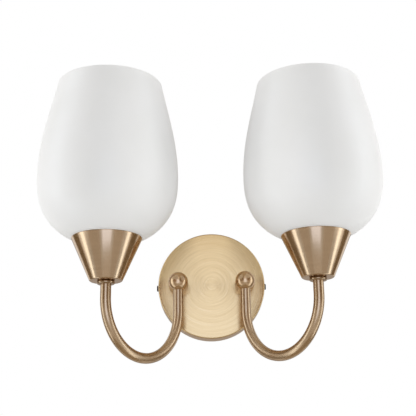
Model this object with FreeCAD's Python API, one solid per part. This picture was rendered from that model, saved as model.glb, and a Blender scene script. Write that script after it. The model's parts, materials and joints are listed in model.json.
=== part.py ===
import FreeCAD, Part
import math
import os

# Wall light with two arms and open topped glass shades.
# The wall is the plane Y = 0, the room lies towards -Y, up is +Z and right is +X.
# The origin is the centre of the canopy's back. Lengths are millimetres, angles degrees.

V = FreeCAD.Vector

# Fits
running_gap = 0.08      # radial, between a shaft and the hole it turns or slides in
thread_gap = 0.05       # radial, between a thread and the thread it is screwed into
seat_gap = 0.3          # between curved or loose faces that only lie near each other

# Cutting and bending
overrun = 1.0           # how far a cutter runs past the face that it leaves
bend_share = 0.45       # share of a straight run that a bend at its end may take

# Canopy, a pressed round cover that is open towards the wall
canopy_radius = 55.0
canopy_depth = 20.0
canopy_wall = 1.0
canopy_edge_radius = 3.0

# Wall bracket, a strip with an ear bent up at each end for the canopy's rim screws
bracket_wall = 1.5
bracket_width = 30.0
bracket_bend_radius = 1.0
ear_width = 12.0
ear_height = 12.0
ear_taper = 8.0         # length over which the strip narrows from its full width to the ears
slot_spacing = 60.0     # between the centres of the two wall slots
slot_width = 4.5
slot_length = 12.0

# Rim screws
rim_screw_radius = 2.0
rim_screw_length = 8.0
rim_screw_height = 6.5  # above the wall
rim_head_radius = 3.0
rim_head_height = 1.5
screw_slot_width = 0.8
screw_slot_depth = 0.7
head_edge_share = 0.35  # of a screw head's height, rounded off at its edge

# Earth screw with its washer
earth_radius = 2.0
earth_head_radius = 3.6
earth_head_height = 2.4
earth_washer_radius = 4.5
earth_washer_wall = 0.8
earth_place = 16.0      # out from the centre
earth_drop = 9.5        # below the centre

# Terminal block with two poles
block_width = 17.0
block_length = 21.0
block_height = 12.5
block_edge = 1.2
pole_pitch = 10.0
sleeve_radius = 2.5
sleeve_bore = 1.6
sleeve_inset = 1.0      # of a sleeve's end in the block
clamp_radius = 1.5
clamp_spread = 9.0      # between the two clamp screws of one pole
clamp_stand_out = 0.8   # of a clamp screw above the block
block_screw_radius = 1.5
block_screw_head_radius = 2.7
block_screw_head_height = 2.0
block_screw_sink = 3.0  # of its head's seat below the block's face

# Arm fittings on the canopy
arm_spacing = 68.0      # between the two arms where they leave the canopy
ball_radius = 9.9
ball_stand_off = 18.0   # from the canopy's face to the ball's centre
ball_cavity = 5.3
collar_radius = 9.9
collar_length = 10.0
collar_edge = 0.8
nipple_radius = 5.0
nipple_bore = 3.5
nipple_into_ball = 4.0
nipple_stand_out = 1.0  # past its nut
washer_wall = 0.6
washer_radius = 8.6
washer_root_radius = 7.2
washer_teeth = 10
washer_notch = 1.8      # between two teeth
nut_across_flats = 14.0
nut_height = 2.8
nut_chamfer = 0.6

# Arm tubes
tube_radius = 5.0
tube_wall = 1.0
arm_reach = 100.9       # from the ball's axis to the cup's axis
arm_swing = 50.4        # out of the wall's plane
arm_bend_level = -30.5  # height of the bend's centre, from the ball's centre
tube_into_ball = 4.2

# Ring and cup
cup_level = -15.2       # height of the cup's underside, from the ball's centre
cup_height = 40.2
cup_foot_radius = 15.1
cup_mouth_radius = 33.0
cup_wall = 1.0
cup_foot_edge = 1.6
ring_radius = 8.4
ring_height = 3.0
ring_socket = 1.5       # depth that the tube's end seats in the ring
cup_nipple_bore = 2.9
cup_nipple_length = 20.0
cup_nipple_into_tube = 9.0

# Lampholder, measured up from the cup's floor
holder_cap_height = 26.0
holder_cap_foot_radius = 12.0
holder_cap_foot_height = 10.0
holder_cap_shoulder = 20.0
holder_cap_floor = 4.8
holder_edge = 1.0
holder_radius = 19.0
holder_wall = 1.6
insert_flange = 1.5
insert_radius = 16.2
insert_height = 7.5
insert_hole_radius = 1.7
insert_hole_inset = 5.0 # from the insert's side to the centre of a hole
holder_shell_height = 31.0
holder_lip_radius = 14.9
holder_lip = 1.6
glass_flange_radius = 26.0
glass_flange_wall = 2.4
glass_flange_cone = 2.0 # height of the slope under the flange
shell_thread = 0.6      # depth of the thread in the shell
lamp_sleeve_radius = 14.2
lamp_sleeve_height = 22.0
contact_width = 4.0
contact_wall = 0.5
contact_height = 2.0
contact_reach = 5.0
contact_foot = 7.0      # length that lies on the insert
contact_lean = 2.0      # run of its sloping part
terminal_offset = 6.0

# Glass shade: radius and height above its foot, from the foot to the rim
shade_foot_radius = 31.5
shade_low_radius = 45.6
shade_low_height = 7.8
shade_bowl_radius = 60.9
shade_bowl_height = 26.5
shade_belly_radius = 66.9
shade_belly_height = 61.0
shade_upper_radius = 60.9
shade_upper_height = 111.0
shade_rim_radius = 51.2
shade_height = 156.0
shade_wall = 3.0
shade_hole_radius = 20.5

# Ring that clamps the glass on the lampholder
clamp_ring_radius = 25.5
clamp_ring_height = 6.0
clamp_ring_grips = 18
clamp_ring_grip_radius = 1.2
clamp_ring_grip_out = 0.4
clamp_ring_flange = 1.5
clamp_ring_edge = 1.0

# Bulb
bulb_cap_radius = 13.2
bulb_cap_height = 23.0
bulb_cap_wall = 0.6
bulb_cap_floor = 1.0
bulb_cap_chamfer = 1.5
bulb_cap_chamfer_height = 2.0
bulb_tip_height = 1.8
bulb_tip_radius = 4.5
bulb_tip_flare = 2.0    # wider at the cap than at the tip
bulb_neck_radius = 14.0
bulb_neck_rise = 3.0    # from the cap to where the globe's curve starts
bulb_neck_flare = 1.0
bulb_neck_in_cap = 3.0
bulb_shoulder_lift = 1.5
bulb_radius = 30.0
bulb_length = 105.0
bulb_wall = 1.0

# Leads
lead_radius = 2.4
lead_ball_bend = 6.0
lead_canopy_bend = 7.0
lead_past_nipple = 6.0
core_radius = 0.95
core_offset = 1.1
tail_run = 1.0          # straight end of the sheath in the canopy
core_run = 4.0          # straight start of a core in the canopy
core_spread_end = 12.0  # from the sheath's end to where a core is in line with its pole
core_rise_start = 0.25  # shares of a core's rise in the lampholder that stay straight
core_rise_end = 0.3

# Worked out from the values above
canopy_face = -canopy_depth
canopy_inside = canopy_face + canopy_wall
ball_x = arm_spacing / 2
ball_y = canopy_face - ball_stand_off
collar_front = canopy_face - collar_length
nut_back = canopy_inside + washer_wall
nut_front = nut_back + nut_height
nipple_back = nut_front + nipple_stand_out
cup_x = ball_x + arm_reach * math.cos(math.radians(arm_swing))
cup_y = ball_y - arm_reach * math.sin(math.radians(arm_swing))
arm_bend_radius = arm_reach / 2
cup_floor = cup_level + cup_wall
tube_end = cup_level - ring_height + ring_socket
cap_top = cup_floor + holder_cap_height
shell_foot = cap_top + insert_flange
shade_foot = cup_level + cup_height + seat_gap
insert_top = cap_top + insert_height
bulb_foot = insert_top + contact_height + seat_gap
ear_face = math.sqrt((canopy_radius - canopy_wall) ** 2 - (ear_width / 2) ** 2) - seat_gap
tail_level = nipple_back + lead_canopy_bend
tail_depth = -tail_level
block_front = -bracket_wall - block_height
small_nipple_radius = tube_radius - tube_wall - thread_gap
small_nipple_foot = tube_end - cup_nipple_into_tube
small_nipple_top = small_nipple_foot + cup_nipple_length
lead_end = small_nipple_top + lead_past_nipple


def polar(centre, radius, angle):
    """Point at an angle on a circle of an outline."""
    turn = math.radians(angle)
    return (centre[0] + radius * math.cos(turn), centre[1] + radius * math.sin(turn))


def bend(centre, radius, start, end):
    """Step of an outline: an arc about a centre, from one angle to another."""
    return (polar(centre, radius, (start + end) / 2), polar(centre, radius, end))


def outline(*steps):
    """Closed outline of (radius, height) corners; a pair of points is an arc through the first."""
    edges = []
    first = here = V(steps[0][0], 0, steps[0][1])
    for step in steps[1:] + (steps[0],):
        if isinstance(step[0], tuple):
            through, end = (V(p[0], 0, p[1]) for p in step)
            edges.append(Part.Arc(here, through, end).toShape())
            here = end
        else:
            end = V(step[0], 0, step[1])
            if here.distanceToPoint(end) > 1e-6:
                edges.append(Part.LineSegment(here, end).toShape())
            here = end
    return Part.Face(Part.Wire(edges))


def turned(*steps):
    """Solid turned about Z from an outline."""
    return outline(*steps).revolve(V(0, 0, 0), V(0, 0, 1), 360)


def rod(radius, start, end):
    """Round rod between two points."""
    start, end = V(*start), V(*end)
    way = end - start
    return Part.makeCylinder(radius, way.Length, start, way)


def block(low, high):
    """Box between two opposite corners."""
    size = V(*high) - V(*low)
    return Part.makeBox(size.x, size.y, size.z, V(*low))


def to_room(shape):
    """Stand a part that was made along +Z on the wall, so that it points into the room."""
    return shape.rotated(V(0, 0, 0), V(1, 0, 0), 90)


def to_side(shape, side):
    """Lay a part that was made along +Z down, so that it points outwards to one side."""
    return shape.rotated(V(0, 0, 0), V(0, 1, 0), 90 * side)


def rounded_path(points):
    """Straight runs joined by tangent arcs, as large as the shorter run beside each point allows."""
    points = [V(*p) for p in points]
    edges = []
    here = points[0]
    for before, corner, after in zip(points, points[1:], points[2:]):
        inward = (corner - before).normalize()
        outward = (after - corner).normalize()
        reach = bend_share * min((corner - before).Length, (after - corner).Length)
        start = corner - inward * reach
        end = corner + outward * reach
        middle = (outward - inward).normalize()
        half_turn = inward.getAngle(outward) / 2
        radius = reach / math.tan(half_turn)
        through = corner + middle * (radius / math.cos(half_turn) - radius)
        edges.append(Part.LineSegment(here, start).toShape())
        edges.append(Part.Arc(start, through, end).toShape())
        here = end
    edges.append(Part.LineSegment(here, points[-1]).toShape())
    return Part.Wire(edges)


def along(path, radius):
    """Round bar along a path."""
    start = path.OrderedEdges[0]
    way = start.tangentAt(start.FirstParameter)
    ring = Part.Wire(Part.makeCircle(radius, start.valueAt(start.FirstParameter), way))
    return path.makePipeShell([ring], True, False)


def screw_slot(top, radius):
    """Cutter for the driver slot across a head whose top is at this height."""
    half = screw_slot_width / 2
    long = radius + overrun
    return block((-long, -half, top - screw_slot_depth), (long, half, top + overrun))


def headed_screw(radius, length, head_radius, head_height):
    """Slotted screw with its head above Z = 0 and its shank below."""
    edge = head_height * head_edge_share
    solid = turned(
        (0, -length),
        (radius, -length),
        (radius, 0),
        (head_radius, 0),
        (head_radius, head_height - edge),
        bend((head_radius - edge, head_height - edge), edge, 0, 90),
        (0, head_height),
    )
    return solid.cut(screw_slot(head_height, head_radius))


def make_canopy():
    """Pressed cover with its two arm holes and two rim screw holes."""
    corner = (canopy_radius - canopy_edge_radius, canopy_depth - canopy_edge_radius)
    inner_edge = canopy_edge_radius - canopy_wall
    shell = to_room(turned(
        (0, canopy_depth),
        (corner[0], canopy_depth),
        bend(corner, canopy_edge_radius, 90, 0),
        (canopy_radius, 0),
        (canopy_radius - canopy_wall, 0),
        (canopy_radius - canopy_wall, corner[1]),
        bend(corner, inner_edge, 0, 90),
        (0, canopy_depth - canopy_wall),
    ))
    for side in (-1, 1):
        arm_hole = rod(
            nipple_radius + running_gap,
            (side * ball_x, canopy_face - overrun, 0),
            (side * ball_x, canopy_inside + overrun, 0),
        )
        rim_hole = rod(
            rim_screw_radius + running_gap,
            (side * (canopy_radius - canopy_wall - overrun), -rim_screw_height, 0),
            (side * (canopy_radius + overrun), -rim_screw_height, 0),
        )
        shell = shell.cut(arm_hole).cut(rim_hole)
    return shell


def bracket_plan(flat_end, outer):
    """Cutter of the bracket's shape as seen from the room: wide, and tapered to its ears."""
    corners = [
        (ear_face + overrun, ear_width / 2),
        (flat_end - outer / 2, ear_width / 2),
        (flat_end - ear_taper, bracket_width / 2),
    ]
    upper = corners + [(-x, y) for x, y in reversed(corners)]
    around = upper + [(x, -y) for x, y in reversed(upper)]
    plan = Part.makePolygon([V(x, y, -overrun) for x, y in around + around[:1]])
    return Part.Face(plan).extrude(V(0, 0, ear_height + 2 * overrun))


def make_wall_bracket():
    """Bent strip: a flat with two wall slots, and an ear at each end with a tapped hole."""
    outer = bracket_bend_radius + bracket_wall
    floor = bracket_wall
    flat_end = ear_face - outer
    section = outline(
        (-flat_end, 0),
        (flat_end, 0),
        bend((flat_end, outer), outer, -90, 0),
        (ear_face, ear_height),
        (ear_face - bracket_wall, ear_height),
        (ear_face - bracket_wall, outer),
        bend((flat_end, outer), bracket_bend_radius, 0, -90),
        (-flat_end, floor),
        bend((-flat_end, outer), bracket_bend_radius, -90, -180),
        (-ear_face + bracket_wall, ear_height),
        (-ear_face, ear_height),
        (-ear_face, outer),
        bend((-flat_end, outer), outer, 180, 270),
    )
    strip = section.extrude(V(0, bracket_width, 0))
    strip.translate(V(0, -bracket_width / 2, 0))
    strip = strip.common(bracket_plan(flat_end, outer))
    bracket = to_room(strip)
    for side in (-1, 1):
        tapped = rod(
            rim_screw_radius + running_gap,
            (side * (ear_face - bracket_wall - overrun), -rim_screw_height, 0),
            (side * (ear_face + overrun), -rim_screw_height, 0),
        )
        bracket = bracket.cut(tapped).cut(make_slot(side * slot_spacing / 2))
    earth_hole = through_bracket(earth_radius + thread_gap, earth_place, -earth_drop)
    block_hole = through_bracket(block_screw_radius + thread_gap, 0, 0)
    return bracket.cut(earth_hole).cut(block_hole)


def through_bracket(radius, x, z):
    """Cutter for a round hole through the bracket's flat."""
    return rod(radius, (x, overrun, z), (x, -bracket_wall - overrun, z))


def make_slot(x):
    """Cutter for a wall slot that runs along X."""
    half = slot_width / 2
    run = slot_length / 2 - half
    ends = [through_bracket(half, x + way * run, 0) for way in (-1, 1)]
    middle = block((x - run, -bracket_wall - overrun, -half), (x + run, overrun, half))
    return middle.fuse(ends)


def make_rim_screw(side):
    """Slotted screw through the canopy's rim into the bracket's ear."""
    screw = headed_screw(rim_screw_radius, rim_screw_length, rim_head_radius, rim_head_height)
    screw = to_side(screw, side)
    screw.translate(V(side * (canopy_radius + seat_gap), -rim_screw_height, 0))
    return screw


def make_earth_screw():
    """Earth screw, as deep as the bracket, with its head on the washer."""
    length = bracket_wall + earth_washer_wall
    screw = to_room(headed_screw(earth_radius, length, earth_head_radius, earth_head_height))
    screw.translate(V(earth_place, -length, -earth_drop))
    return screw


def make_earth_washer():
    """Plain washer under the earth screw's head."""
    washer = to_room(turned(
        (earth_radius + thread_gap, 0),
        (earth_washer_radius, 0),
        (earth_washer_radius, earth_washer_wall),
        (earth_radius + thread_gap, earth_washer_wall),
    ))
    washer.translate(V(earth_place, -bracket_wall, -earth_drop))
    return washer


def pole_places():
    """Heights of the terminal block's two poles."""
    return (-pole_pitch / 2, pole_pitch / 2)


def make_terminal_block():
    """Moulded block with a sleeve hole per pole, clamp screw wells and a fixing hole."""
    body = block(
        (-block_width / 2, block_front, -block_length / 2),
        (block_width / 2, -bracket_wall, block_length / 2),
    )
    front = [e for e in body.Edges if abs(e.BoundBox.YMax - block_front) < 1e-6]
    body = body.makeFillet(block_edge, front)
    before = block_front - overrun
    for z in pole_places():
        hole = rod(sleeve_radius + thread_gap, (-block_width, tail_level, z), (block_width, tail_level, z))
        body = body.cut(hole)
        for side in (-1, 1):
            x = side * clamp_spread / 2
            body = body.cut(rod(clamp_radius + 2 * thread_gap, (x, before, z), (x, tail_level, z)))
    fixing = rod(block_screw_radius + thread_gap, (0, overrun, 0), (0, before, 0))
    seat = block_front + block_screw_sink
    head_well = rod(block_screw_head_radius + thread_gap, (0, seat, 0), (0, before, 0))
    return body.cut(fixing).cut(head_well)


def make_terminal_sleeves():
    """Brass sleeve of each pole, with two tapped holes for its clamp screws."""
    sleeves = []
    half = block_width / 2 - sleeve_inset
    outside = tail_level - sleeve_radius - overrun
    for z in pole_places():
        sleeve = rod(sleeve_radius, (-half, tail_level, z), (half, tail_level, z))
        bore = rod(sleeve_bore, (-half - overrun, tail_level, z), (half + overrun, tail_level, z))
        sleeve = sleeve.cut(bore)
        for side in (-1, 1):
            x = side * clamp_spread / 2
            sleeve = sleeve.cut(rod(clamp_radius + thread_gap, (x, tail_level, z), (x, outside, z)))
        sleeves.append(sleeve)
    return Part.makeCompound(sleeves)


def make_clamp_screws():
    """Four slotted clamp screws, whose tips press the cores down in the sleeves."""
    screws = []
    tip = tail_depth + core_radius + thread_gap
    length = clamp_stand_out - block_front - tip
    for z in pole_places():
        for side in (-1, 1):
            screw = Part.makeCylinder(clamp_radius, length)
            screw = to_room(screw.cut(screw_slot(length, clamp_radius)))
            screw.translate(V(side * clamp_spread / 2, -tip, z))
            screws.append(screw)
    return Part.makeCompound(screws)


def make_block_screw():
    """Screw that holds the terminal block on the bracket, sunk in the block's face."""
    seat = block_front + block_screw_sink
    screw = to_room(headed_screw(
        block_screw_radius,
        -seat,
        block_screw_head_radius,
        block_screw_head_height,
    ))
    screw.translate(V(0, seat, 0))
    return screw


def make_lead_tail(side):
    """Sheathed end of an arm's lead, from its nipple round towards the terminal block."""
    centre = (ball_x - lead_canopy_bend, nipple_back)
    start, through, turned_in = (
        V(side * x, y, 0)
        for x, y in (polar(centre, lead_canopy_bend, angle) for angle in (0, 45, 90))
    )
    path = Part.Wire([
        Part.Arc(start, through, turned_in).toShape(),
        Part.LineSegment(turned_in, turned_in - V(side * tail_run, 0, 0)).toShape(),
    ])
    return along(path, lead_radius)


def make_cores(up):
    """One colour of core of both leads, from the sheath's end into its pole."""
    cores = []
    for side in (-1, 1):
        start = ball_x - lead_canopy_bend - tail_run
        pole = pole_pitch / 2
        stop = clamp_spread / 2 - clamp_radius
        points = [
            (side * start, tail_level, up * core_offset),
            (side * (start - core_run), tail_level, up * core_offset),
            (side * (start - core_spread_end), tail_level, up * pole),
            (side * stop, tail_level, up * pole),
        ]
        cores.append(along(rounded_path(points), core_radius))
    return Part.makeCompound(cores)


def make_collar(side):
    """Round collar between canopy and ball."""
    edge = collar_edge
    collar = to_room(turned(
        (nipple_radius + thread_gap, 0),
        (collar_radius - edge / 2, 0),
        bend((collar_radius - edge / 2, edge / 2), edge / 2, -90, 0),
        (collar_radius, collar_length - edge),
        bend((collar_radius - edge, collar_length - edge), edge, 0, 90),
        (nipple_radius + thread_gap, collar_length),
    ))
    collar.translate(V(side * ball_x, canopy_face, 0))
    return collar


def make_ball(side):
    """Hollow ball with a flat back, a tapped hole to the nipple and one below for the tube."""
    ball = Part.makeSphere(ball_radius)
    back = ball_stand_off - collar_length
    far = 2 * ball_radius
    ball = ball.cut(block((-far, back, -far), (far, far, far)))
    ball = ball.cut(Part.makeSphere(ball_cavity))
    nipple_end = back - nipple_into_ball
    ball = ball.cut(rod(nipple_radius + thread_gap, (0, back + overrun, 0), (0, nipple_end, 0)))
    ball = ball.cut(rod(nipple_bore, (0, back, 0), (0, 0, 0)))
    tube_top = -ball_radius + tube_into_ball
    ball = ball.cut(rod(tube_radius + thread_gap, (0, 0, -ball_radius - overrun), (0, 0, tube_top)))
    ball = ball.cut(rod(tube_radius - tube_wall, (0, 0, tube_top - overrun), (0, 0, 0)))
    ball.translate(V(side * ball_x, ball_y, 0))
    return ball


def make_nipple(side):
    """Hollow threaded tube that clamps ball and collar to the canopy."""
    length = nipple_back - collar_front + nipple_into_ball
    nipple = to_room(turned(
        (nipple_bore, 0),
        (nipple_radius, 0),
        (nipple_radius, length),
        (nipple_bore, length),
    ))
    nipple.translate(V(side * ball_x, nipple_back, 0))
    return nipple


def make_lock_washer(side):
    """Toothed washer between the canopy's inside and the nipple's nut."""
    washer = turned(
        (nipple_radius + 2 * thread_gap, 0),
        (washer_radius, 0),
        (washer_radius, washer_wall),
        (nipple_radius + 2 * thread_gap, washer_wall),
    )
    notch = block(
        (washer_root_radius, -washer_notch / 2, -overrun),
        (washer_radius + overrun, washer_notch / 2, washer_wall + overrun),
    )
    for index in range(washer_teeth):
        washer = washer.cut(notch.rotated(V(0, 0, 0), V(0, 0, 1), 360 * index / washer_teeth))
    washer = to_room(washer)
    washer.translate(V(side * ball_x, nut_back, 0))
    return washer


def make_nipple_nut(side):
    """Thin hexagon nut with chamfered corners."""
    corner = nut_across_flats / 2 / math.cos(math.radians(30))
    hexagon = [V(*polar((0, 0), corner, 60 * k), 0) for k in range(7)]
    nut = Part.Face(Part.makePolygon(hexagon)).extrude(V(0, 0, nut_height))
    nut = nut.common(turned(
        (0, 0),
        (corner - nut_chamfer, 0),
        (corner, nut_chamfer),
        (corner, nut_height - nut_chamfer),
        (corner - nut_chamfer, nut_height),
        (0, nut_height),
    ))
    nut = nut.cut(Part.makeCylinder(nipple_radius + thread_gap, nut_height))
    nut = to_room(nut)
    nut.translate(V(side * ball_x, nut_front, 0))
    return nut


def arm_points(side):
    """Places on the arm's centre line: ball axis, lowest point and cup axis, at the bend's level."""
    ball = V(side * ball_x, ball_y, arm_bend_level)
    cup = V(side * cup_x, cup_y, arm_bend_level)
    low = (ball + cup) / 2 - V(0, 0, arm_bend_radius)
    return ball, low, cup


def make_arm_tube(side):
    """Tube down from the ball, round a half circle and up to the ring under the cup."""
    ball, low, cup = arm_points(side)
    top = V(ball.x, ball.y, -ball_radius + tube_into_ball)
    path = Part.Wire([
        Part.LineSegment(top, ball).toShape(),
        Part.Arc(ball, low, cup).toShape(),
        Part.LineSegment(cup, V(cup.x, cup.y, tube_end)).toShape(),
    ])
    return along(path, tube_radius).cut(along(path, tube_radius - tube_wall))


def make_arm_lead(side):
    """Sheathed lead from the nipple's end, through ball and tube, into the lampholder."""
    ball, low, cup = arm_points(side)
    r = lead_ball_bend
    x = side * ball_x
    centre = (ball_y + r, -r)
    turn_start = V(x, centre[0], 0)
    turn_end = V(x, ball_y, centre[1])
    turn_through = V(x, *polar(centre, r, 135))
    path = Part.Wire([
        Part.LineSegment(V(x, nipple_back, 0), turn_start).toShape(),
        Part.Arc(turn_start, turn_through, turn_end).toShape(),
        Part.LineSegment(turn_end, ball).toShape(),
        Part.Arc(ball, low, cup).toShape(),
        Part.LineSegment(cup, V(cup.x, cup.y, lead_end)).toShape(),
    ])
    return along(path, lead_radius)


def make_lamp_cores():
    """Two cores from the lead's end out to the lampholder's terminals."""
    cores = []
    rise = cap_top - lead_end
    for way in (-1, 1):
        points = [
            (way * core_offset, 0, lead_end),
            (way * core_offset, 0, lead_end + rise * core_rise_start),
            (way * terminal_offset, 0, cap_top - rise * core_rise_end),
            (way * terminal_offset, 0, cap_top),
        ]
        cores.append(along(rounded_path(points), core_radius))
    return Part.makeCompound(cores)


def make_ring():
    """Round edged ring under the cup, which seats the tube's end."""
    half = ring_height / 2
    foot = cup_level - ring_height
    return turned(
        (small_nipple_radius + thread_gap, foot + ring_socket),
        (tube_radius + thread_gap, foot + ring_socket),
        (tube_radius + thread_gap, foot),
        (ring_radius - half, foot),
        bend((ring_radius - half, foot + half), half, -90, 90),
        (small_nipple_radius + thread_gap, cup_level),
    )


def make_cup_nipple():
    """Threaded tube from the arm's end through ring and cup into the lampholder's cap."""
    return turned(
        (cup_nipple_bore, small_nipple_foot),
        (small_nipple_radius, small_nipple_foot),
        (small_nipple_radius, small_nipple_top),
        (cup_nipple_bore, small_nipple_top),
    )


def make_cup():
    """Plain conical cup of sheet metal with a flat foot, a rounded foot edge and an open mouth."""
    slope = math.degrees(math.atan2(cup_mouth_radius - cup_foot_radius, cup_height))
    hole = small_nipple_radius + thread_gap
    edge = cup_foot_edge
    inner_edge = edge - cup_wall
    turn = 90 - slope
    corner = (cup_foot_radius - edge * math.tan(math.radians(turn / 2)), cup_level + edge)
    mouth = (cup_mouth_radius, cup_level + cup_height)
    inward = polar((0, 0), cup_wall, 180 - slope)
    lip = (mouth[0] + inward[0] / 2, mouth[1] + inward[1] / 2)
    return turned(
        (hole, cup_level),
        (corner[0], cup_level),
        bend(corner, edge, -90, -slope),
        mouth,
        bend(lip, cup_wall / 2, -slope, 180 - slope),
        polar(corner, inner_edge, -slope),
        bend(corner, inner_edge, -slope, -90),
        (hole, cup_floor),
    )


def make_holder_cap():
    """Lower cap of the lampholder, screwed on the cup's nipple."""
    hole = small_nipple_radius + thread_gap
    foot = holder_cap_foot_radius
    side = cup_floor + holder_cap_foot_height
    shoulder = cup_floor + holder_cap_shoulder
    wall = holder_wall
    return turned(
        (hole, cup_floor),
        (foot - holder_edge, cup_floor),
        bend((foot - holder_edge, cup_floor + holder_edge), holder_edge, -90, 0),
        (foot, side),
        (holder_radius, shoulder),
        (holder_radius, cap_top),
        (holder_radius - wall, cap_top),
        (holder_radius - wall, shoulder + wall / 2),
        (foot - wall, side + wall / 2),
        (foot - wall, cup_floor + holder_cap_floor),
        (hole, cup_floor + holder_cap_floor),
    )


def make_holder_insert():
    """Ceramic insert that carries the contacts, clamped by its flange between cap and shell."""
    insert = turned(
        (0, cap_top),
        (holder_radius, cap_top),
        (holder_radius, shell_foot),
        (insert_radius, shell_foot),
        (insert_radius, insert_top),
        (0, insert_top),
    )
    for way in (-1, 1):
        y = way * (insert_radius - insert_hole_inset)
        hole = rod(insert_hole_radius, (0, y, cap_top - overrun), (0, y, insert_top + overrun))
        insert = insert.cut(hole)
    return insert


def make_holder_shell():
    """Upper shell of the lampholder, with the flange that carries the glass and a lip on top."""
    top = shell_foot + holder_shell_height
    bore = holder_radius - holder_wall - shell_thread
    edge = holder_radius - holder_edge
    flange_foot = shade_foot - glass_flange_wall
    return turned(
        (bore, shell_foot),
        (holder_radius, shell_foot),
        (holder_radius, flange_foot - glass_flange_cone),
        (glass_flange_radius, flange_foot),
        (glass_flange_radius, shade_foot),
        (holder_radius, shade_foot),
        (holder_radius, top - holder_edge),
        bend((edge, top - holder_edge), holder_edge, 0, 90),
        (holder_lip_radius, top),
        (holder_lip_radius, top - holder_lip),
        (bore, top - holder_lip),
    )


def make_lamp_sleeve():
    """Threaded contact sleeve that takes the bulb's cap."""
    bore = bulb_cap_radius + running_gap
    return turned(
        (bore, insert_top),
        (lamp_sleeve_radius, insert_top),
        (lamp_sleeve_radius, insert_top + lamp_sleeve_height),
        (bore, insert_top + lamp_sleeve_height),
    )


def make_centre_contact():
    """Bent contact tongue under the bulb's tip."""
    start, end = -contact_reach, contact_reach
    wall = contact_wall
    top = insert_top + contact_height
    tongue = outline(
        (start, insert_top),
        (start + contact_foot, insert_top),
        (start + contact_foot, insert_top + wall),
        (start + contact_lean - wall, insert_top + wall),
        (start + contact_lean + wall, top - wall),
        (end, top - wall),
        (end, top),
        (start + contact_lean, top),
        (start, insert_top + wall),
    ).extrude(V(0, contact_width, 0))
    tongue.translate(V(0, -contact_width / 2, 0))
    return tongue


def shade_stations():
    """Places that the glass's outer outline passes through, as radius and height."""
    heights = (
        (shade_foot_radius, 0),
        (shade_low_radius, shade_low_height),
        (shade_bowl_radius, shade_bowl_height),
        (shade_belly_radius, shade_belly_height),
        (shade_upper_radius, shade_upper_height),
        (shade_rim_radius, shade_height - shade_wall / 2),
    )
    return [V(radius, 0, shade_foot + height) for radius, height in heights]


def make_shade():
    """Glass shade: a spline outside, the same drawn in by the glass's wall, and a round lip."""
    outer = Part.BSplineCurve()
    outer.interpolate(Points=shade_stations())
    inner_points = []
    for place in shade_stations():
        way = outer.tangent(outer.parameter(place))[0]
        inner_points.append(place + V(-way.z, 0, way.x) * shade_wall)
    floor = shade_foot + shade_wall
    inner_points[0] = V(inner_points[0].x, 0, floor)
    inner = Part.BSplineCurve()
    inner.interpolate(Points=inner_points)
    rim_out, rim_in = shade_stations()[-1], inner_points[-1]
    rim_way = outer.tangent(outer.parameter(rim_out))[0]
    lip = (rim_out + rim_in) / 2 + rim_way * (shade_wall / 2)
    foot = shade_stations()[0]
    hole_low = V(shade_hole_radius, 0, shade_foot)
    hole_high = V(shade_hole_radius, 0, floor)
    wire = Part.Wire([
        Part.LineSegment(hole_low, foot).toShape(),
        outer.toShape(),
        Part.Arc(rim_out, lip, rim_in).toShape(),
        inner.toShape(),
        Part.LineSegment(inner_points[0], hole_high).toShape(),
        Part.LineSegment(hole_high, hole_low).toShape(),
    ])
    return Part.Face(wire).revolve(V(0, 0, 0), V(0, 0, 1), 360)


def make_shade_ring():
    """Threaded ring with grips round its edge, which clamps the glass on its flange."""
    foot = shade_foot + shade_wall
    top = foot + clamp_ring_height
    edge = clamp_ring_edge
    ring = turned(
        (holder_radius + thread_gap, foot),
        (clamp_ring_radius, foot),
        (clamp_ring_radius, top - edge),
        bend((clamp_ring_radius - edge, top - edge), edge, 0, 90),
        (holder_radius + thread_gap, top),
    )
    grip_circle = clamp_ring_radius + clamp_ring_grip_out
    for index in range(clamp_ring_grips):
        x, y = polar((0, 0), grip_circle, 360 * index / clamp_ring_grips)
        grip = rod(clamp_ring_grip_radius, (x, y, foot + clamp_ring_flange), (x, y, top + overrun))
        ring = ring.cut(grip)
    return ring


def make_bulb_cap():
    """Screw cap of the bulb, open above for the glass's neck."""
    low = bulb_foot + bulb_tip_height
    top = low + bulb_cap_height
    hole = bulb_tip_radius + bulb_tip_flare
    inside = bulb_cap_radius - bulb_cap_wall
    return turned(
        (hole, low),
        (bulb_cap_radius - bulb_cap_chamfer, low),
        (bulb_cap_radius, low + bulb_cap_chamfer_height),
        (bulb_cap_radius, top),
        (inside, top),
        (inside, low + bulb_cap_chamfer_height + bulb_cap_floor),
        (hole, low + bulb_cap_floor),
    )


def make_bulb_tip():
    """Insulator of the bulb's cap, with the centre contact as its tip."""
    top = bulb_foot + bulb_tip_height
    wide = bulb_tip_radius + bulb_tip_flare
    return turned(
        (0, bulb_foot),
        (bulb_tip_radius, bulb_foot),
        (wide, top),
        (wide, top + bulb_cap_floor),
        (0, top + bulb_cap_floor),
    )


def globe_side(neck, wide, drawn_in):
    """Curve of the globe's side, from its neck to its widest place, drawn in by part of the glass."""
    start = V(neck[0] - drawn_in, 0, neck[1])
    end = V(wide[0] - drawn_in, 0, wide[1])
    between = (start + end) / 2 + V(0, 0, bulb_shoulder_lift + drawn_in / 2)
    side = Part.BSplineCurve()
    side.interpolate(Points=[start, between, end], InitialTangent=V(0.1, 0, 1), FinalTangent=V(0, 0, 1))
    return side.toShape()


def globe_dome(centre, radius):
    """Quarter circle of the globe, from its widest place to its top."""
    places = [V(x, 0, z) for x, z in (polar(centre, radius, angle) for angle in (0, 45, 90))]
    return Part.Arc(*places).toShape()


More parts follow.
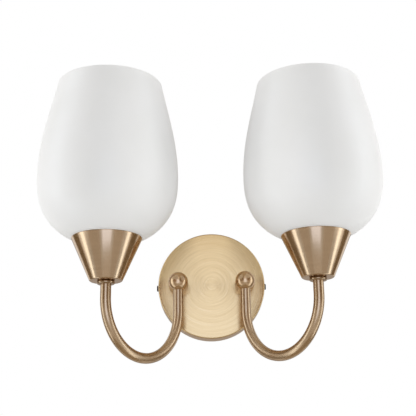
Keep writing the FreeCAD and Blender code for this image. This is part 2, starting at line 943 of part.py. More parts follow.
def make_bulb_envelope():
    """Frosted globe of the bulb, with its neck in the cap."""
    cap_end = bulb_foot + bulb_tip_height + bulb_cap_height
    centre = (0, bulb_foot + bulb_length - bulb_radius)
    wide = (bulb_radius, centre[1])
    neck = (bulb_neck_radius, cap_end + bulb_neck_rise)
    outside = bulb_cap_radius - bulb_cap_wall - thread_gap
    inside = outside - bulb_wall
    in_cap = cap_end - bulb_neck_in_cap
    top = centre[1] + bulb_radius
    stem = Part.makePolygon([
        V(bulb_neck_radius - bulb_wall, 0, neck[1]),
        V(inside, 0, cap_end),
        V(inside, 0, in_cap),
        V(outside, 0, in_cap),
        V(outside, 0, cap_end),
        V(bulb_neck_radius, 0, cap_end + bulb_neck_flare),
        V(bulb_neck_radius, 0, neck[1]),
    ])
    wire = Part.Wire(Part.sortEdges(stem.Edges + [
        globe_side(neck, wide, 0),
        globe_dome(centre, bulb_radius),
        Part.LineSegment(V(0, 0, top), V(0, 0, top - bulb_wall)).toShape(),
        globe_dome(centre, bulb_radius - bulb_wall),
        globe_side(neck, wide, bulb_wall),
    ])[0])
    return Part.Face(wire).revolve(V(0, 0, 0), V(0, 0, 1), 360)


def export(shape, name):
    """Write one node's solids to its file."""
    shape.exportStep("parts/" + name + ".step")


def export_on_cup(shape, side, name):
    """Write a node that was made about Z, moved to the cup's axis of one arm."""
    shape.translate(V(side * cup_x, cup_y, 0))
    export(shape, name)


def export_canopy_group():
    """Everything that stays on the wall."""
    export(make_canopy(), "canopy")
    export(make_wall_bracket(), "wall_bracket")
    export(make_earth_screw(), "earth_screw")
    export(make_earth_washer(), "earth_washer")
    export(make_terminal_block(), "terminal_block")
    export(make_terminal_sleeves(), "terminal_sleeves")
    export(make_clamp_screws(), "terminal_clamp_screws")
    export(make_block_screw(), "terminal_block_screw")
    export(make_cores(1), "live_cores")
    export(make_cores(-1), "neutral_cores")


def export_arm(side, prefix):
    """One arm with everything that turns with it, its bulb and its rim screw."""
    export(make_rim_screw(side), prefix + "rim_screw")
    export(make_lead_tail(side), prefix + "lead_tail")
    export(make_collar(side), prefix + "collar")
    export(make_ball(side), prefix + "ball_fitting")
    export(make_nipple(side), prefix + "nipple")
    export(make_lock_washer(side), prefix + "lock_washer")
    export(make_nipple_nut(side), prefix + "nipple_nut")
    export(make_arm_tube(side), prefix + "arm_tube")
    export(make_arm_lead(side), prefix + "arm_lead")
    on_cup = {
        "ring": make_ring,
        "cup": make_cup,
        "cup_nipple": make_cup_nipple,
        "lampholder_cap": make_holder_cap,
        "lampholder_insert": make_holder_insert,
        "lampholder_shell": make_holder_shell,
        "lampholder_sleeve": make_lamp_sleeve,
        "centre_contact": make_centre_contact,
        "lamp_cores": make_lamp_cores,
        "shade": make_shade,
        "shade_ring": make_shade_ring,
        "bulb_cap": make_bulb_cap,
        "bulb_tip": make_bulb_tip,
        "bulb_envelope": make_bulb_envelope,
    }
    for name, make in on_cup.items():
        export_on_cup(make(), side, prefix + name)


os.makedirs("parts", exist_ok=True)
export_canopy_group()
export_arm(-1, "left_")
export_arm(1, "right_")
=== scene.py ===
import json
import math

import bpy
from mathutils import Matrix, Vector


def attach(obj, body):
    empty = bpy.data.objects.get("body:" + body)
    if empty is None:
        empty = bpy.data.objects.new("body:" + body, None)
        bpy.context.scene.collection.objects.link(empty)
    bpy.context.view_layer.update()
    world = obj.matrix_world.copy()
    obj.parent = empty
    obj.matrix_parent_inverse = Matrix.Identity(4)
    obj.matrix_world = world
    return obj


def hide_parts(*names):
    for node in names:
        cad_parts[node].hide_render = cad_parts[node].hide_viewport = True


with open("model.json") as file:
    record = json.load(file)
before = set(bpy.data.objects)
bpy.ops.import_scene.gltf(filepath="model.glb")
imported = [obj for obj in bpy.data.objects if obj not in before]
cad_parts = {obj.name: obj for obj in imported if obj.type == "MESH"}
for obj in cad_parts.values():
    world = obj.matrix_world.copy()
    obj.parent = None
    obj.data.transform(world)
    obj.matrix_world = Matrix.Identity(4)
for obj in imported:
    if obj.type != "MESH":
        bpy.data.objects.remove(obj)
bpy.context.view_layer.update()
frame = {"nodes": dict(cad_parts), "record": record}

# Camera: where the photographer stood, in metres and radians, its lens and shifts in picture
# widths, and its sensor in millimetres
CAMERA_AT = (-0.008369, -0.935510, -0.194960)
CAMERA_PITCH = 0.327658
CAMERA_YAW = 0.036245
CAMERA_ROLL = -0.024439
LENS_WIDTHS = 900 / 416
SHIFT_RIGHT = -25 / 416
SHIFT_UP = -30 / 416
SENSOR_WIDTH = 36

# Arms, in metres: the ball's centre, the cup's axis, and the tube with its ends and bend
BALL_X, BALL_Y = 0.034, -0.038
CUP_X, CUP_Y = 0.098316, -0.115744
TUBE_RADIUS, TUBE_BORE = 0.005, 0.004
TUBE_TOP, BEND_LEVEL, TUBE_END = -0.0057, -0.0305, -0.0167
BEND_RADIUS = 0.05045

# The ball and the collar have one radius, and the canopy, collar and ball have holes of one size
BALL_RADIUS, NIPPLE_HOLE = 0.0099, 0.00505

# Canopy, in metres: outer size, sheet and edge, and how far its faint crown falls to the edge
CANOPY_RADIUS, CANOPY_DEPTH, CANOPY_WALL, CANOPY_EDGE = 0.055, 0.020, 0.001, 0.0016
CROWN_FALL, CROWN_POWER = 0.0013, 6

# Canopy, in metres: its flat inside, the gap to the lock washers, and where the holes are cut
FLAT_INSIDE, WASHER_GAP = 0.0435, 0.00002
RIM_HOLE_LEVEL, RIM_HOLE = -0.0065, 0.0021
ARM_CUT, RIM_CUT = (-0.03, -0.01), (-0.003, 0.003)

# Steps and sides of the meshes, the angle from which an edge stays sharp, and the radius that
# stands for zero at an axis
FACE_STEPS, EDGE_STEPS, BRUSHED_EDGE_STEPS, INNER_EDGE_STEPS = 48, 10, 5, 6
DROP_STEPS, BEND_STEPS, RISE_STEPS = 6, 120, 4
LARGE_SIDES, SMALL_SIDES, TUBE_SIDES, HOLE_SIDES = 192, 128, 64, 48
SHARP_ANGLE = math.radians(35)
NEAR_AXIS = 0.00001

# Studio: the point in metres that the lamps look at and that the cards stand round
MIDDLE = (0, -0.08, 0.04)

# Cards of both sides: name, azimuths on the right, elevations, distance, radiance and tint
SIDE_CARDS = (
    ("_strip", (74, 87), (-60, 60), 1.1, 2.3, (0.86, 0.94, 1)),
    ("_front_flag", (16, 62), (-8, 55), 1.1, 0.22, (1, 0.62, 0.22)),
    ("_low_flag", (24, 60), (-50, -8), 1.1, 0.52, (1, 0.92, 0.82)),
    ("_rear_flag", (96, 125), (-60, 60), 1.1, 0.22, (1, 0.75, 0.45)),
)

# Cards between the sides, with the same columns
MIDDLE_CARDS = (
    ("front_card", (-16, 16), (-28, 12), 1.08, 1.42, (0.90, 1.02, 1.30)),
    ("upper_front_card", (-14, 14), (12, 40), 1.08, 0.94, (1, 1, 1)),
    ("foot_flag", (-22, 22), (-56, -32), 1.1, 0.6, (1, 0.94, 0.86)),
    ("ground_flag", (-180, 180), (-88, -57), 0.88, 0.38, (1, 0.82, 0.58)),
    ("back_flag", (145, 215), (-45, 60), 1.1, 0.45, (1, 0.92, 0.85)),
    ("ceiling_flag", (-180, 180), (46, 88), 1.1, 0.5, (1, 0.86, 0.64)),
)


# Node helpers

class Graph:
    """A material's node tree, with short calls for the nodes that the materials share."""

    def __init__(self, name):
        self.material = bpy.data.materials.new(name)
        self.material.use_nodes = True
        self.tree = self.material.node_tree
        self.tree.nodes.clear()
        self.out = self.tree.nodes.new("ShaderNodeOutputMaterial")
        self.shader = self.tree.nodes.new("ShaderNodeBsdfPrincipled")
        self.link(self.shader.outputs["BSDF"], self.out.inputs["Surface"])

    def link(self, a, b):
        self.tree.links.new(a, b)

    def drive(self, name, value):
        """Links a value to one of the shader's inputs."""
        self.link(value, self.shader.inputs[name])

    def node(self, kind, **values):
        made = self.tree.nodes.new(kind)
        for key, value in values.items():
            setattr(made, key, value)
        return made

    def set(self, **values):
        for key, value in values.items():
            self.shader.inputs[key.replace("_", " ")].default_value = value

    def place(self, scale=(1, 1, 1)):
        coords = self.node("ShaderNodeTexCoord")
        mapping = self.node("ShaderNodeMapping")
        mapping.inputs["Scale"].default_value = scale
        self.link(coords.outputs["Object"], mapping.inputs["Vector"])
        return mapping.outputs["Vector"]

    def apart(self, vector):
        """The X, Y and Z of a vector."""
        parts = self.node("ShaderNodeSeparateXYZ")
        self.link(vector, parts.inputs["Vector"])
        return [parts.outputs[axis] for axis in "XYZ"]

    def together(self, *values):
        """The vector with this X, Y and Z."""
        made = self.node("ShaderNodeCombineXYZ")
        for axis, value in zip("XYZ", values):
            self.link(value, made.inputs[axis])
        return made.outputs["Vector"]

    def math(self, operation, a, b=0.0):
        made = self.node("ShaderNodeMath", operation=operation)
        for socket, value in zip(made.inputs, (a, b)):
            if isinstance(value, (int, float)):
                socket.default_value = value
            else:
                self.link(value, socket)
        return made.outputs["Value"]

    def weighed(self, a, b, share):
        """A mean of two values, of which the first has this share."""
        return self.math("ADD", self.math("MULTIPLY", a, share),
                         self.math("MULTIPLY", b, 1 - share))

    def noise(self, vector, scale, detail=3.0, roughness=0.5):
        made = self.node("ShaderNodeTexNoise")
        made.inputs["Scale"].default_value = scale
        made.inputs["Detail"].default_value = detail
        made.inputs["Roughness"].default_value = roughness
        self.link(vector, made.inputs["Vector"])
        return made.outputs["Fac"]

    def span(self, value, low, high):
        made = self.node("ShaderNodeMapRange")
        made.inputs["To Min"].default_value = low
        made.inputs["To Max"].default_value = high
        self.link(value, made.inputs["Value"])
        return made.outputs["Result"]

    def ramp(self, value, *stops):
        made = self.node("ShaderNodeValToRGB")
        while len(made.color_ramp.elements) < len(stops):
            made.color_ramp.elements.new(0.5)
        for element, (place, colour) in zip(made.color_ramp.elements, stops):
            element.position = place
            element.color = (*colour, 1)
        self.link(value, made.inputs["Fac"])
        return made.outputs["Color"]

    def bump(self, height, distance, strength):
        made = self.node("ShaderNodeBump")
        made.inputs["Strength"].default_value = strength
        made.inputs["Distance"].default_value = distance
        self.link(height, made.inputs["Height"])
        return made.outputs["Normal"]


def dress(material, *names):
    """Puts a material on CAD nodes."""
    for name in names:
        for slot in frame["nodes"][name].material_slots:
            slot.link = "OBJECT"
            slot.material = material


def pair(*names):
    return [side + name for side in ("left_", "right_") for name in names]


# Mesh helpers

def linked(name, data):
    """A new object in the scene."""
    made = bpy.data.objects.new(name, data)
    bpy.context.scene.collection.objects.link(made)
    return made


def smooth(mesh):
    """Shades a mesh smoothly up to a sharp angle."""
    mesh.shade_smooth()
    mesh.set_sharp_from_angle(angle=SHARP_ANGLE)


def arc(centre, radius, start, end, steps):
    """Points of an outline on a circle, from one angle to another in degrees."""
    turns = [math.radians(start + (end - start) * i / steps) for i in range(steps + 1)]
    return [(centre[0] + radius * math.cos(t), centre[1] + radius * math.sin(t)) for t in turns]


def wrapped(outline, sides, place):
    """Carries a closed outline of (radius, length) round an axis or a bent path.

    The outline runs counter-clockwise, so that the faces look outwards. Returns the points, the
    faces, and the corners of the faces on the unrolled skin.
    """
    count = len(outline)
    turns = [2 * math.pi * i / sides for i in range(sides)]
    points = [place(radius, length, turn) for turn in turns for radius, length in outline]
    faces, unrolled = [], []
    for i in range(sides):
        i2, here, there = (i + 1) % sides, i / sides, (i + 1) / sides
        for j in range(count):
            k = (j + 1) % count
            faces.append((i * count + j, i2 * count + j, i2 * count + k, i * count + k))
            low, high = outline[j][1], outline[k][1]
            unrolled += [(here, low), (there, low), (there, high), (here, high)]
    return points, faces, unrolled


def round_axis(radius, height, turn):
    return (radius * math.cos(turn), radius * math.sin(turn), height)


def stand_in(node, made, material, move):
    """A smooth mesh in the place of a CAD node, riding on that node's body."""
    points, faces, unrolled = made
    mesh = bpy.data.meshes.new(node + "_skin")
    mesh.from_pydata(points, [], faces)
    layer = mesh.uv_layers.new(name="unrolled")
    for loop, place in zip(layer.data, unrolled):
        loop.uv = place
    smooth(mesh)
    mesh.materials.append(material)
    piece = linked(node + "_skin", mesh)
    piece.matrix_world = move
    bodies = frame["record"]["behaviour"]["bodies"]
    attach(piece, next(body for body, members in bodies.items() if node in members))
    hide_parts(node)
    return piece


# Canopy

def crown_fall(radius):
    """How far the canopy's face lies behind its centre, at a distance from its axis."""
    return CROWN_FALL * (radius / (CANOPY_RADIUS - CANOPY_EDGE)) ** CROWN_POWER


def from_wall(radius, length, turn):
    """A point turned round the canopy's axis, which runs out of the wall."""
    return (radius * math.cos(turn), -length, radius * math.sin(turn))


def cylinder(points, faces, centre, axis, radius, ends):
    """Adds a capped cylinder along X or Y to lists of points and faces."""
    first = len(points)
    for end in ends:
        for i in range(HOLE_SIDES):
            turn = 2 * math.pi * i / HOLE_SIDES
            a, b = radius * math.cos(turn), radius * math.sin(turn)
            offset = (end, a, b) if axis == "X" else (b, end, a)
            points.append(tuple(c + o for c, o in zip(centre, offset)))
    low = list(range(first, first + HOLE_SIDES))
    high = [i + HOLE_SIDES for i in low]
    faces += [low[::-1], high]
    faces += zip(low, low[1:] + low[:1], high[1:] + high[:1], high)


def drill(piece, points, faces):
    """Cuts closed shapes out of a piece's mesh."""
    mesh = bpy.data.meshes.new("drill")
    mesh.from_pydata(points, [], faces)
    drills = linked("drill", mesh)
    cut = piece.modifiers.new("holes", "BOOLEAN")
    cut.operation, cut.solver, cut.object = "DIFFERENCE", "EXACT", drills
    evaluated = piece.evaluated_get(bpy.context.evaluated_depsgraph_get())
    drilled = bpy.data.meshes.new_from_object(evaluated)
    piece.modifiers.clear()
    piece.data = drilled
    bpy.data.objects.remove(drills)
    smooth(drilled)


def canopy_outline():
    """The section as (radius, distance from the wall), and the first of its brushed steps."""
    face_radius = CANOPY_RADIUS - CANOPY_EDGE
    slope = math.atan(CROWN_FALL * CROWN_POWER / face_radius)
    start = 90 - math.degrees(slope)
    meet = face_radius + CANOPY_EDGE * math.cos(math.radians(start))
    rise = CANOPY_EDGE * math.sin(math.radians(start))
    centre = (face_radius, CANOPY_DEPTH - crown_fall(meet) - rise)
    reaches = [meet * i / FACE_STEPS for i in range(FACE_STEPS)]
    outline = [(max(reach, NEAR_AXIS), CANOPY_DEPTH - crown_fall(reach)) for reach in reaches]
    outline += arc(centre, CANOPY_EDGE, start, 0, EDGE_STEPS)
    outline += [(CANOPY_RADIUS, 0), (CANOPY_RADIUS - CANOPY_WALL, 0)]
    outline += arc(centre, CANOPY_EDGE - CANOPY_WALL, 0, start, INNER_EDGE_STEPS)
    inside = CANOPY_DEPTH - CANOPY_WALL + WASHER_GAP
    outline += [(FLAT_INSIDE, inside), (NEAR_AXIS, inside)]
    outline.reverse()
    return outline, len(outline) - 1 - FACE_STEPS - BRUSHED_EDGE_STEPS


def canopy(brushed, plain):
    """Pressed cover with a faintly crowned face, a rounded edge, and arm and rim screw holes."""
    outline, first_brushed = canopy_outline()
    made = wrapped(outline, LARGE_SIDES, from_wall)
    piece = stand_in("canopy", made, brushed, Matrix.Identity(4))
    piece.data.materials.append(plain)
    for number, polygon in enumerate(piece.data.polygons):
        polygon.material_index = 0 if number % len(outline) >= first_brushed else 1
    points, faces = [], []
    for side in (-1, 1):
        arm, rim = (side * BALL_X, 0, 0), (side * CANOPY_RADIUS, RIM_HOLE_LEVEL, 0)
        cylinder(points, faces, arm, "Y", NIPPLE_HOLE, ARM_CUT)
        cylinder(points, faces, rim, "X", RIM_HOLE, RIM_CUT)
    drill(piece, points, faces)


# Pieces of the arms

def tube_path(side):
    """Where a point of the tube's skin is, from its radius, its length along and its turn."""
    up = Vector((0, 0, 1))
    across = Vector((side * (CUP_X - BALL_X), CUP_Y - BALL_Y, 0)).normalized()
    sideways = across.cross(up)
    start = Vector((side * BALL_X, BALL_Y, TUBE_TOP))
    first = TUBE_TOP - BEND_LEVEL
    half_circle = math.pi * BEND_RADIUS

    def place(radius, length, turn):
        bent = min(max(length - first, 0), half_circle) / BEND_RADIUS
        away, down = 1 - math.cos(bent), math.sin(bent)
        along = across * math.sin(bent) - up * math.cos(bent)
        inward = across * math.cos(bent) + up * math.sin(bent)
        centre = start + Vector((0, 0, -min(length, first)))
        centre += across * BEND_RADIUS * away - up * BEND_RADIUS * down
        centre += along * max(length - first - half_circle, 0)
        return tuple(centre + radius * (inward * math.cos(turn) + sideways * math.sin(turn)))

    return place


def arm_tube(side, prefix, material):
    """Tube that drops from the ball, bends round half a circle and rises to the ring."""
    first, bend = TUBE_TOP - BEND_LEVEL, math.pi * BEND_RADIUS
    last = TUBE_END - BEND_LEVEL
    stations = [first * i / DROP_STEPS for i in range(DROP_STEPS)]
    stations += [first + bend * i / BEND_STEPS for i in range(BEND_STEPS + 1)]
    stations += [first + bend + last * i / RISE_STEPS for i in range(1, RISE_STEPS + 1)]
    outline = [(TUBE_RADIUS, s) for s in stations] + [(TUBE_BORE, s) for s in reversed(stations)]
    made = wrapped(outline, TUBE_SIDES, tube_path(side))
    stand_in(prefix + "arm_tube", made, material, Matrix.Identity(4))


def towards_room(x, y):
    """Puts a piece turned round Z on an axis that runs out of the wall."""
    return Matrix.Translation((x, y, 0)) @ Matrix.Rotation(math.radians(90), 4, "X")


def on_cup_axis(side):
    return Matrix.Translation((side * CUP_X, CUP_Y, 0))


def ball(side, prefix, material):
    """Ball with a flat back and the hole that takes the threaded tube from the canopy."""
    back, depth, almost_front = -0.008, 0.004, 89.95
    rim = math.degrees(math.asin(back / BALL_RADIUS))
    outline = [(NEAR_AXIS, back + depth), (NIPPLE_HOLE, back + depth), (NIPPLE_HOLE, back)]
    outline += arc((0, 0), BALL_RADIUS, rim, almost_front, 48)
    made = wrapped(outline, SMALL_SIDES, round_axis)
    move = towards_room(side * BALL_X, BALL_Y)
    stand_in(prefix + "ball_fitting", made, material, move)


def collar(side, prefix, material):
    """Short round foot with a flat back, which turns with the arm on the canopy's face."""
    length, edge = 0.010, 0.0008
    outline = [(NIPPLE_HOLE, 0)]
    outline += arc((BALL_RADIUS - edge / 2, edge / 2), edge / 2, -90, 0, 6)
    outline += arc((BALL_RADIUS - edge, length - edge), edge, 0, 90, 8) + [(NIPPLE_HOLE, length)]
    made = wrapped(outline, SMALL_SIDES, round_axis)
    move = towards_room(side * BALL_X, -CANOPY_DEPTH)
    stand_in(prefix + "collar", made, material, move)


def ring(side, prefix, material):
    """Ring with a round edge under the cup, and the socket that takes the tube's end."""
    radius, foot, height, socket, slack = 0.0084, -0.0182, 0.003, 0.0015, 0.00005
    half, seat = height / 2, TUBE_RADIUS + slack
    outline = [(TUBE_BORE, foot + socket), (seat, foot + socket), (seat, foot)]
    outline += arc((radius - half, foot + half), half, -90, 90, 16) + [(TUBE_BORE, foot + height)]
    made = wrapped(outline, SMALL_SIDES, round_axis)
    stand_in(prefix + "ring", made, material, on_cup_axis(side))


def cup(side, prefix, material):
    """Cone of sheet metal with a rounded foot edge and a rounded lip."""
    foot, height, wall, edge = -0.0152, 0.0402, 0.001, 0.0016
    foot_radius, mouth_radius = 0.0151, 0.033
    slope = math.degrees(math.atan2(mouth_radius - foot_radius, height))
    corner = (foot_radius - edge * math.tan(math.radians((90 - slope) / 2)), foot + edge)
    lip = (mouth_radius - wall / 2 * math.cos(math.radians(slope)),
           foot + height + wall / 2 * math.sin(math.radians(slope)))
    outline = [(TUBE_BORE, foot)] + arc(corner, edge, -90, -slope, 10)
    outline += arc(lip, wall / 2, -slope, 180 - slope, 10)
    outline += arc(corner, edge - wall, -slope, -90, 6) + [(TUBE_BORE, foot + wall)]
    made = wrapped(outline, LARGE_SIDES, round_axis)
    stand_in(prefix + "cup", made, material, on_cup_axis(side))


def arms():
    """The bronze pieces of both arms, each kind with its own brushing and tone; the collar and the
    ring get darker copies of the bronze, which are painted shade.
    """
    drawn = bronze("bronze_drawn", "along", (0.58, 0.42, 0.27), 0.28)
    spun = bronze("bronze_spun", "round", (0.60, 0.435, 0.285), 0.17)
    turned = bronze("bronze_turned", "round", (0.64, 0.445, 0.27), 0.24)
    # The collar's darker, more saturated bronze is painted shade and a painted reflection of the
    # gold canopy it stands on.
    collar_painted_shade = bronze("bronze_collar_painted_shade", "round", (0.56, 0.38, 0.19), 0.24)
    # The ring's darker bronze is painted shade beneath the cup.
    ring_painted_shade = bronze("bronze_ring_painted_shade", "round", (0.42, 0.30, 0.19), 0.18)
    for side, prefix in ((-1, "left_"), (1, "right_")):
        arm_tube(side, prefix, drawn)
        ball(side, prefix, turned)
        collar(side, prefix, collar_painted_shade)
        ring(side, prefix, ring_painted_shade)
        cup(side, prefix, spun)


# Materials

def rings_round_centre(g):
    """Noise coordinates for lathe rings: they change with the radius, hardly with the angle."""
    wander = 0.0004
    x, _, z = g.apart(g.node("ShaderNodeTexCoord").outputs["Object"])
    radius = g.math("SQRT", g.math("ADD", g.math("MULTIPLY", x, x), g.math("MULTIPLY", z, z)))
    angle = g.math("ARCTAN2", z, x)
    return g.together(radius, g.math("MULTIPLY", g.math("SINE", angle), wander),
                      g.math("MULTIPLY", g.math("COSINE", angle), wander))


def brass_face():
    """Brass brushed on a lathe: fine rings that stretch the light across them."""
    g = Graph("brass_satin")
    ring = rings_round_centre(g)
    broad = g.noise(ring, 760, 2.0)
    fine = g.noise(ring, 2400, 3.0, 0.65)
    both = g.weighed(broad, fine, 0.4)
    brushed = g.ramp(both, (0.34, (0.64, 0.45, 0.225)), (0.50, (0.725, 0.53, 0.285)),
                     (0.66, (0.80, 0.61, 0.355)))
    g.drive("Base Color", brushed)
    g.drive("Roughness", g.span(both, 0.21, 0.31))
    g.set(Metallic=1.0, Anisotropic=0.75, Anisotropic_Rotation=0.25)
    tangent = g.node("ShaderNodeTangent", direction_type="RADIAL", axis="Y")
    g.drive("Tangent", tangent.outputs["Tangent"])
    g.drive("Normal", g.bump(both, 0.00002, 0.25))
    return g.material


def brass_edge():
    """The canopy's edge, side wall and inside, which are satin without rings."""
    g = Graph("brass_edge")
    coarse = g.noise(g.place(), 160, 2.0)
    fine = g.noise(g.place(), 2600, 3.0, 0.65)
    both = g.weighed(coarse, fine, 0.4)
    g.drive("Base Color", g.ramp(both, (0.30, (0.64, 0.47, 0.31)), (0.70, (0.70, 0.53, 0.36))))
    g.drive("Roughness", g.span(both, 0.26, 0.36))
    g.set(Metallic=1.0)
    g.drive("Normal", g.bump(both, 0.00002, 0.25))
    return g.material


def unrolled_lines(g, way):
    """Noise coordinates that stretch the grain along a piece or round it."""
    turns, reach, _ = g.apart(g.node("ShaderNodeUVMap", uv_map="unrolled").outputs["UV"])
    turn = g.math("MULTIPLY", turns, 2 * math.pi)
    around, length = {"along": (2.5, 12), "round": (0.9, 1500)}[way]
    return g.together(g.math("MULTIPLY", g.math("COSINE", turn), around),
                      g.math("MULTIPLY", g.math("SINE", turn), around),
                      g.math("MULTIPLY", reach, length))


def bronze(name, way, base, rough):
    """Satin bronze: fine brushing along or round a piece, with small clouds of tone."""
    g = Graph(name)
    brush = g.noise(unrolled_lines(g, way), 1.0, 2.0)
    cloud = g.noise(g.place(), 45, 2.0)
    both = g.weighed(brush, cloud, 0.6)
    dark = tuple(c * 0.88 for c in base)
    light = tuple(min(1, c * 1.08) for c in base)
    g.drive("Base Color", g.ramp(both, (0.30, dark), (0.52, base), (0.74, light)))
    g.drive("Roughness", g.span(both, rough - 0.04, rough + 0.05))
    g.set(Metallic=1.0)
    g.drive("Normal", g.bump(brush, 0.000004, 0.2))
    return g.material


def opal_glass():
    """Satin opal glass: milky inside, with a fine etched grain."""
    g = Graph("opal_glass")
    cloud = g.noise(g.place(), 22, 2.0)
    grain = g.noise(g.place(), 2600, 2.0)
    g.drive("Base Color", g.ramp(cloud, (0.3, (0.905, 0.905, 0.895)), (0.7, (0.93, 0.93, 0.925))))
    g.drive("Roughness", g.span(grain, 0.38, 0.50))
    g.set(IOR=1.5, Subsurface_Weight=0.35, Subsurface_Scale=0.006,
          Subsurface_Radius=(1.0, 1.0, 1.0))
    g.drive("Normal", g.bump(grain, 0.00002, 0.3))
    return g.material


def plain_metal(name, low, high, rough, edge=(1, 1, 1)):
    """Small hard metal parts: machining marks and a faint stain."""
    g = Graph(name)
    marks = g.noise(g.place((300, 300, 300)), 3.0, 4.0, 0.6)
    stain = g.noise(g.place(), 180, 2.0)
    both = g.math("MULTIPLY", g.math("ADD", marks, stain), 0.5)
    g.drive("Base Color", g.ramp(both, (0.32, low), (0.68, high)))
    g.drive("Roughness", g.span(marks, rough - 0.07, rough + 0.09))
    g.set(Metallic=1.0, Specular_Tint=(*edge, 1))
    g.drive("Normal", g.bump(marks, 0.00003, 0.5))
    return g.material


def moulded(name, low, high, rough, coat=0.0):
    """Plastic, ceramic or glass of one colour, with a moulded surface's orange peel and haze."""
    g = Graph(name)
    peel = g.noise(g.place(), 700, 3.0)
    haze = g.noise(g.place(), 60, 2.0)
    g.drive("Base Color", g.ramp(haze, (0.3, low), (0.7, high)))
    g.drive("Roughness", g.span(peel, rough - 0.05, rough + 0.08))
    g.set(Coat_Weight=coat, Coat_Roughness=0.08)
    g.drive("Normal", g.bump(peel, 0.00004, 0.35))
    return g.material


def dress_frame():
    dress(plain_metal("screw_dark", (0.035, 0.022, 0.014), (0.07, 0.045, 0.03), 0.34,
                      edge=(0.25, 0.17, 0.11)),
          *pair("rim_screw"))
    dress(plain_metal("zinc_steel", (0.52, 0.53, 0.54), (0.66, 0.67, 0.67), 0.34),
          "wall_bracket", "terminal_block_screw", "terminal_clamp_screws",
          *pair("nipple", "lock_washer", "nipple_nut", "cup_nipple"))
    dress(plain_metal("contact_brass", (0.58, 0.43, 0.20), (0.72, 0.56, 0.28), 0.30),
          "terminal_sleeves", "earth_screw", "earth_washer",
          *pair("centre_contact", "lampholder_sleeve"))
    dress(plain_metal("bulb_cap_metal", (0.60, 0.60, 0.60), (0.78, 0.78, 0.77), 0.26),
          *pair("bulb_cap"))
    dress(moulded("bulb_insulator", (0.03, 0.03, 0.035), (0.05, 0.05, 0.055), 0.25),
          *pair("bulb_tip"))
    dress(opal_glass(), *pair("shade"))
    dress(moulded("bulb_glass", (0.86, 0.86, 0.84), (0.91, 0.91, 0.89), 0.34, 0.4),
          *pair("bulb_envelope"))
    dress(moulded("holder_ceramic", (0.80, 0.79, 0.76), (0.86, 0.85, 0.82), 0.22, 0.3),
          *pair("lampholder_insert"))
    dress(moulded("holder_plastic", (0.74, 0.73, 0.69), (0.80, 0.79, 0.75), 0.40),
          *pair("lampholder_cap", "lampholder_shell", "shade_ring"))
    dress(moulded("block_plastic", (0.76, 0.76, 0.73), (0.82, 0.82, 0.80), 0.42), "terminal_block")
    dress(moulded("lead_sheath", (0.70, 0.70, 0.68), (0.76, 0.76, 0.74), 0.45),
          *pair("lead_tail", "arm_lead"))
    dress(moulded("core_brown", (0.10, 0.045, 0.02), (0.15, 0.07, 0.035), 0.42), "live_cores")
    dress(moulded("core_blue", (0.03, 0.12, 0.38), (0.05, 0.17, 0.48), 0.42), "neutral_cores")
    dress(moulded("core_mixed", (0.10, 0.045, 0.02), (0.15, 0.07, 0.035), 0.42),
          *pair("lamp_cores"))


# Stage

def white_world():
    """White to the eye and in reflections, and a plain soft level on matt surfaces."""
    world = bpy.data.worlds.new("studio")
    bpy.context.scene.world = world
    world.use_nodes = True
    tree = world.node_tree
    tree.nodes.clear()
    out = tree.nodes.new("ShaderNodeOutputWorld")
    mix = tree.nodes.new("ShaderNodeMixShader")
    seen = tree.nodes.new("ShaderNodeBackground")
    soft = tree.nodes.new("ShaderNodeBackground")
    seen.inputs["Color"].default_value = (1, 1, 1, 1)
    seen.inputs["Strength"].default_value = 1.0
    soft.inputs["Color"].default_value = (1, 1, 1, 1)
    soft.inputs["Strength"].default_value = 0.65
    path = tree.nodes.new("ShaderNodeLightPath")
    last = path.outputs["Is Camera Ray"]
    for name in ("Is Glossy Ray", "Is Transmission Ray"):
        add = tree.nodes.new("ShaderNodeMath")
        add.operation = "MAXIMUM"
        tree.links.new(last, add.inputs[0])
        tree.links.new(path.outputs[name], add.inputs[1])
        last = add.outputs["Value"]
    tree.links.new(last, mix.inputs["Fac"])
    tree.links.new(soft.outputs["Background"], mix.inputs[1])
    tree.links.new(seen.outputs["Background"], mix.inputs[2])
    tree.links.new(mix.outputs["Shader"], out.inputs["Surface"])


def pale_floor():
    """A round matt floor well below the light."""
    reach, level, sides = 3.2, -0.90, 96
    turns = [2 * math.pi * i / sides for i in range(sides)]
    rim = [(reach * math.cos(turn), reach * math.sin(turn), level) for turn in turns]
    mesh = bpy.data.meshes.new("floor")
    mesh.from_pydata(rim, [], [range(sides)])
    floor = linked("floor", mesh)
    g = Graph("pale_floor")
    speck = g.noise(g.place(), 30, 3.0)
    g.drive("Base Color", g.ramp(speck, (0.3, (0.80, 0.80, 0.79)), (0.7, (0.83, 0.83, 0.82))))
    g.set(Roughness=0.8)
    mesh.materials.append(g.material)


def softbox(name, at, target, width, height, radiance):
    """A plain rectangular studio lamp that looks at a point and that no reflection shows."""
    light = bpy.data.lights.new(name, "AREA")
    light.shape = "RECTANGLE"
    light.size, light.size_y = width, height
    light.energy = radiance * math.pi * width * height
    lamp = linked(name, light)
    lamp.location = at
    lamp.rotation_euler = (Vector(target) - Vector(at)).to_track_quat("-Z", "Y").to_euler()
    lamp.visible_glossy = False
    return lamp


def round_stand(azimuth, elevation, distance):
    """A place on a sphere round the object: azimuth 0 is the camera's side, 90 its right."""
    a, e = math.radians(azimuth), math.radians(elevation)
    return (MIDDLE[0] + distance * math.sin(a) * math.cos(e),
            MIDDLE[1] - distance * math.cos(a) * math.cos(e),
            MIDDLE[2] + distance * math.sin(e))


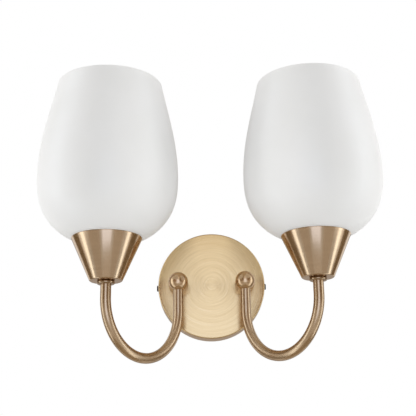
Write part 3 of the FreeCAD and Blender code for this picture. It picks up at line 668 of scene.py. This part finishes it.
def flag(name, azimuths, elevations, distance, radiance, tint):
    """A curved card that only reflections show, as studios use to draw light and dark on metal."""
    across, high = 24, 8
    (left, right), (low, top) = azimuths, elevations
    places = [
        round_stand(left + (right - left) * i / across, low + (top - low) * j / high, distance)
        for j in range(high + 1) for i in range(across + 1)
    ]
    row = across + 1
    corners = [j * row + i for j in range(high) for i in range(across)]
    mesh = bpy.data.meshes.new(name)
    mesh.from_pydata(places, [], [(c, c + 1, c + row + 1, c + row) for c in corners])
    card = linked(name, mesh)
    material = bpy.data.materials.new(name)
    material.use_nodes = True
    tree = material.node_tree
    tree.nodes.clear()
    glow = tree.nodes.new("ShaderNodeEmission")
    glow.inputs["Strength"].default_value = radiance
    glow.inputs["Color"].default_value = (*tint, 1)
    out = tree.nodes.new("ShaderNodeOutputMaterial")
    tree.links.new(glow.outputs["Emission"], out.inputs["Surface"])
    mesh.materials.append(material)
    card.visible_camera = False
    card.visible_diffuse = False
    card.visible_transmission = False
    card.visible_shadow = False


def lamps():
    """Soft boxes light the matt surfaces, and cards are what the metal mirrors."""
    for name, side in (("left", -1), ("right", 1)):
        softbox(name + "_box", round_stand(83 * side, 2, 1.3), MIDDLE, 0.4, 1.7, 3.4)
        for card, (near, far), *rest in SIDE_CARDS:
            flag(name + card, (near * side, far * side), *rest)
    for card in MIDDLE_CARDS:
        flag(*card)
    softbox("top_box", round_stand(0, 70, 1.4), MIDDLE, 1.2, 0.6, 0.5)
    softbox("back_box", round_stand(180, 15, 1.3), MIDDLE, 0.8, 0.8, 0.9)
    fill = softbox("fill_box", (0, -0.32, 0.03), (0, -0.08, 0.03), 0.08, 0.24, 0.85)
    fill.visible_camera = False


def place_camera():
    """The photograph's view: the axes follow from pitch, yaw and roll."""
    p, y, r = CAMERA_PITCH, CAMERA_YAW, CAMERA_ROLL
    forward = Vector((math.sin(y) * math.cos(p), math.cos(y) * math.cos(p), math.sin(p)))
    right = Vector((math.cos(y), -math.sin(y), 0))
    up = right.cross(forward)
    right_rolled = right * math.cos(r) + up * math.sin(r)
    up_rolled = up * math.cos(r) - right * math.sin(r)
    data = bpy.data.cameras.new("camera")
    data.sensor_width = SENSOR_WIDTH
    data.lens = LENS_WIDTHS * SENSOR_WIDTH
    data.shift_x, data.shift_y = SHIFT_RIGHT, SHIFT_UP
    camera = linked("camera", data)
    turn = Matrix((right_rolled, up_rolled, -forward)).transposed()
    camera.matrix_world = Matrix.Translation(Vector(CAMERA_AT)) @ turn.to_4x4()
    bpy.context.scene.camera = camera


dress_frame()
canopy(brass_face(), brass_edge())
arms()
white_world()
pale_floor()
lamps()
place_camera()
bpy.context.scene.view_settings.view_transform = "Standard"
